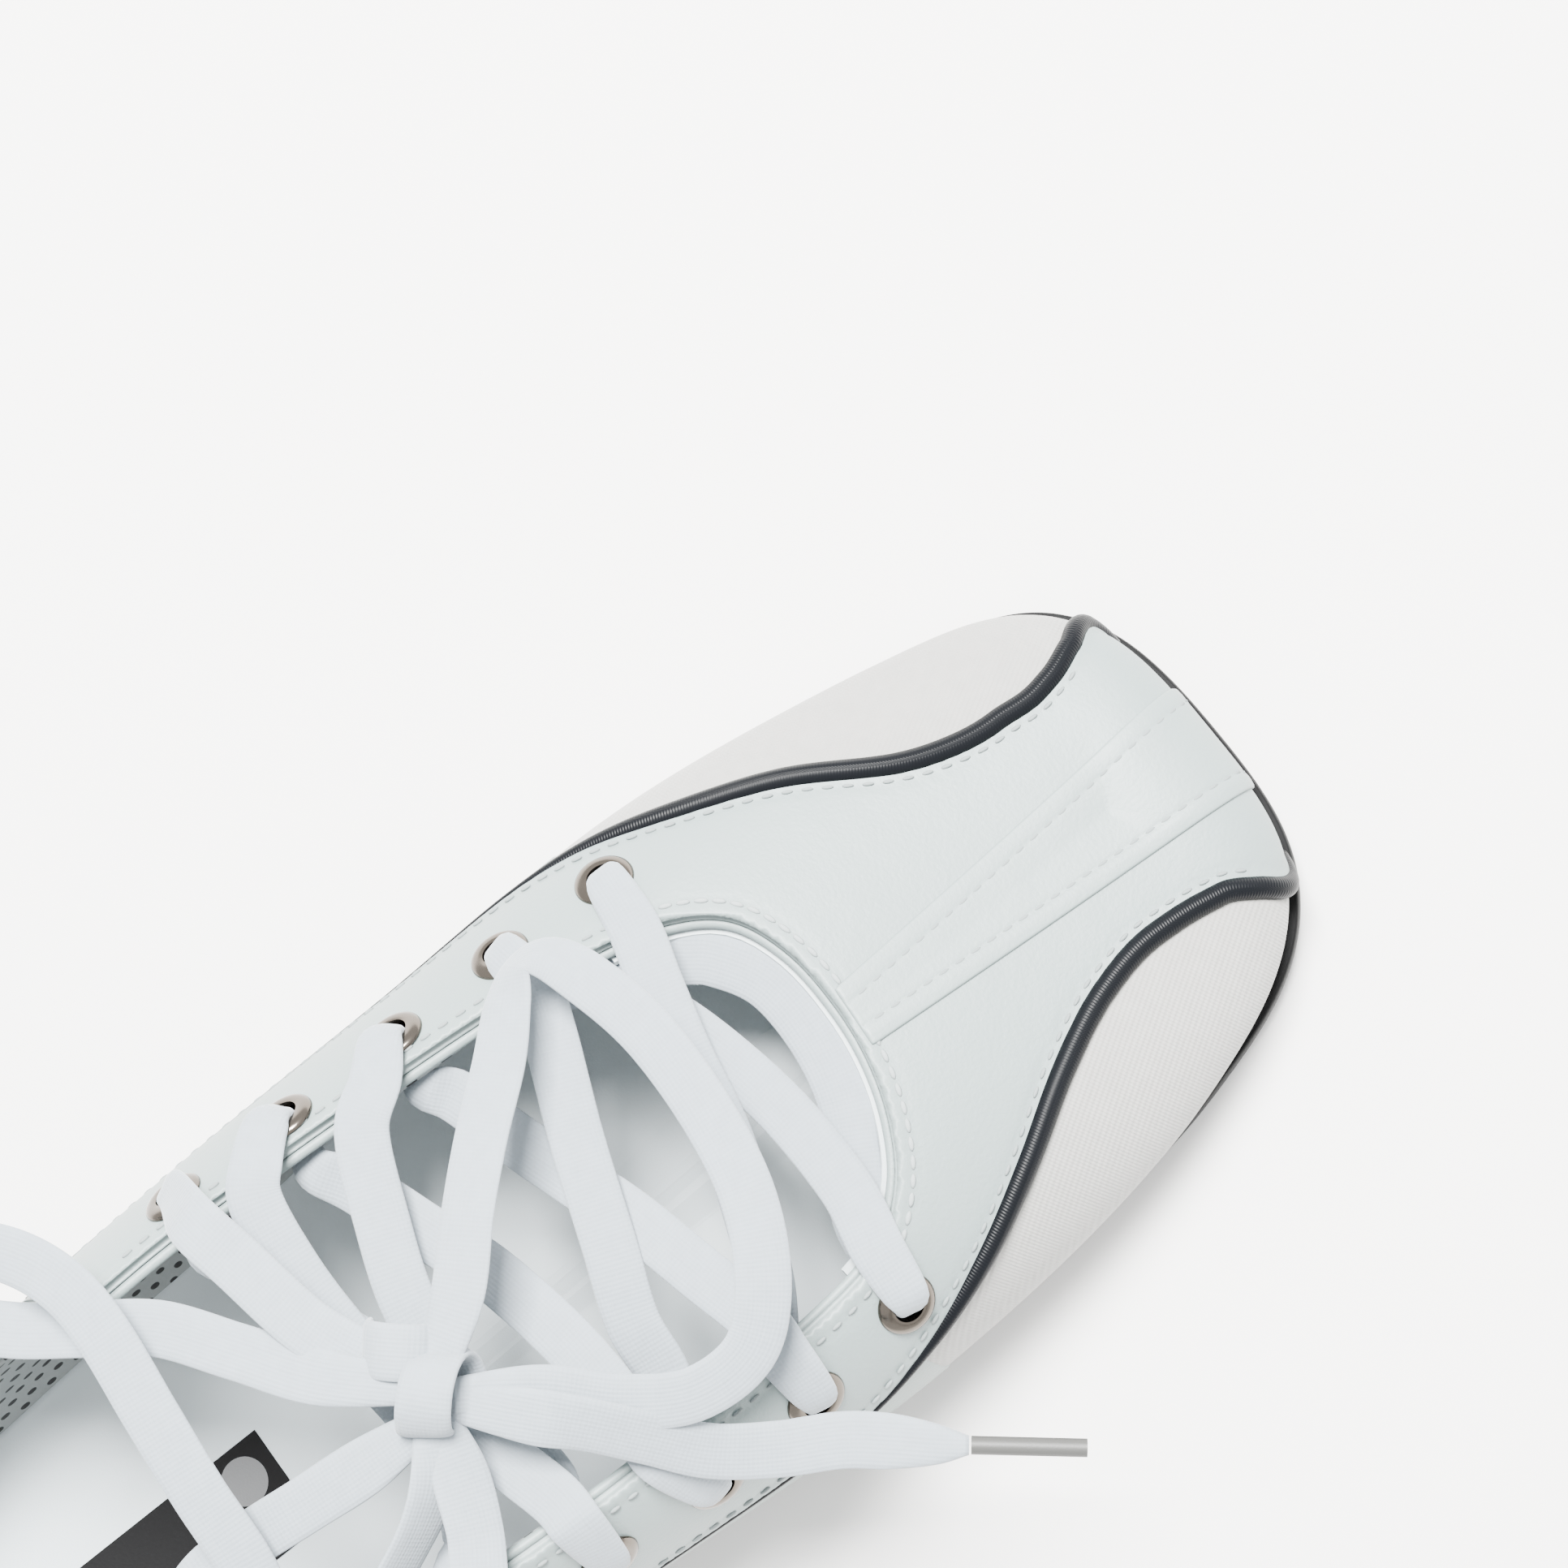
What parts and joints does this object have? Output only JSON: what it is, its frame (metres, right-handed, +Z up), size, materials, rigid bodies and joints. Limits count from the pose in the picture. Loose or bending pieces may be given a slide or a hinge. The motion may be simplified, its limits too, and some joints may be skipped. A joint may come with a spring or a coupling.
{
  "type": "court shoe",
  "caption": "low lace-up shoe for the right foot: smooth leather upper with a raised toe strip, twill toe sides, piping, eyelets, flat laces in a bow and a thin rubber sole",
  "frame": {"origin": "centre of the outsole's box, on the flat underside that the shoe stands on", "axes": "+Z up, -Y to the toe, +Y to the heel, +X to the medial (inner) side of a right foot"},
  "size_m": [0.1132, 0.2541, 0.0727],
  "materials": {
    "rubber_black": "matte, smooth sidewall",
    "foam_black": "matte",
    "board_brown": "matte fibre board",
    "liner_white": "smooth matte",
    "label_black": "matte print with a plain light disc",
    "stiffener_tan": "matte",
    "leather_white": "smooth, soft satin",
    "lining_white": "matte",
    "lining_grey": "matte, perforated",
    "canvas_cream": "matte twill",
    "piping_black": "satin",
    "eyelet_nickel": "polished nickel",
    "lace_white": "flat weave",
    "aglet_grey": "matte"
  },
  "bodies": {
    "root": {"outsole": "rubber_black", "midsole": "foam_black", "insole_board": "board_brown", "sock_liner": "liner_white", "sock_label": "label_black", "toe_puff": "stiffener_tan", "heel_counter": "stiffener_tan", "vamp": "leather_white", "vamp_lining": "lining_white", "centre_strip": "leather_white", "canvas_medial": "canvas_cream", "canvas_lateral": "canvas_cream", "quarter_medial": "leather_white", "quarter_lateral": "leather_white", "facing_stay_medial": "lining_white", "facing_stay_lateral": "lining_white", "quarter_lining_medial": "lining_grey", "quarter_lining_lateral": "lining_grey", "facing_binding": "leather_white", "collar_binding": "leather_white", "backstay": "leather_white", "piping_medial": "piping_black", "piping_lateral": "piping_black", "eyelets_medial": "eyelet_nickel", "eyelets_lateral": "eyelet_nickel", "washers_medial": "eyelet_nickel", "washers_lateral": "eyelet_nickel", "lace": "lace_white", "lace_knot": "lace_white", "lace_loop_1": "lace_white", "lace_loop_2": "lace_white", "lace_tail_1": "lace_white", "lace_tail_2": "lace_white", "aglet_1": "aglet_grey", "aglet_2": "aglet_grey"}
  },
  "joints": []
}
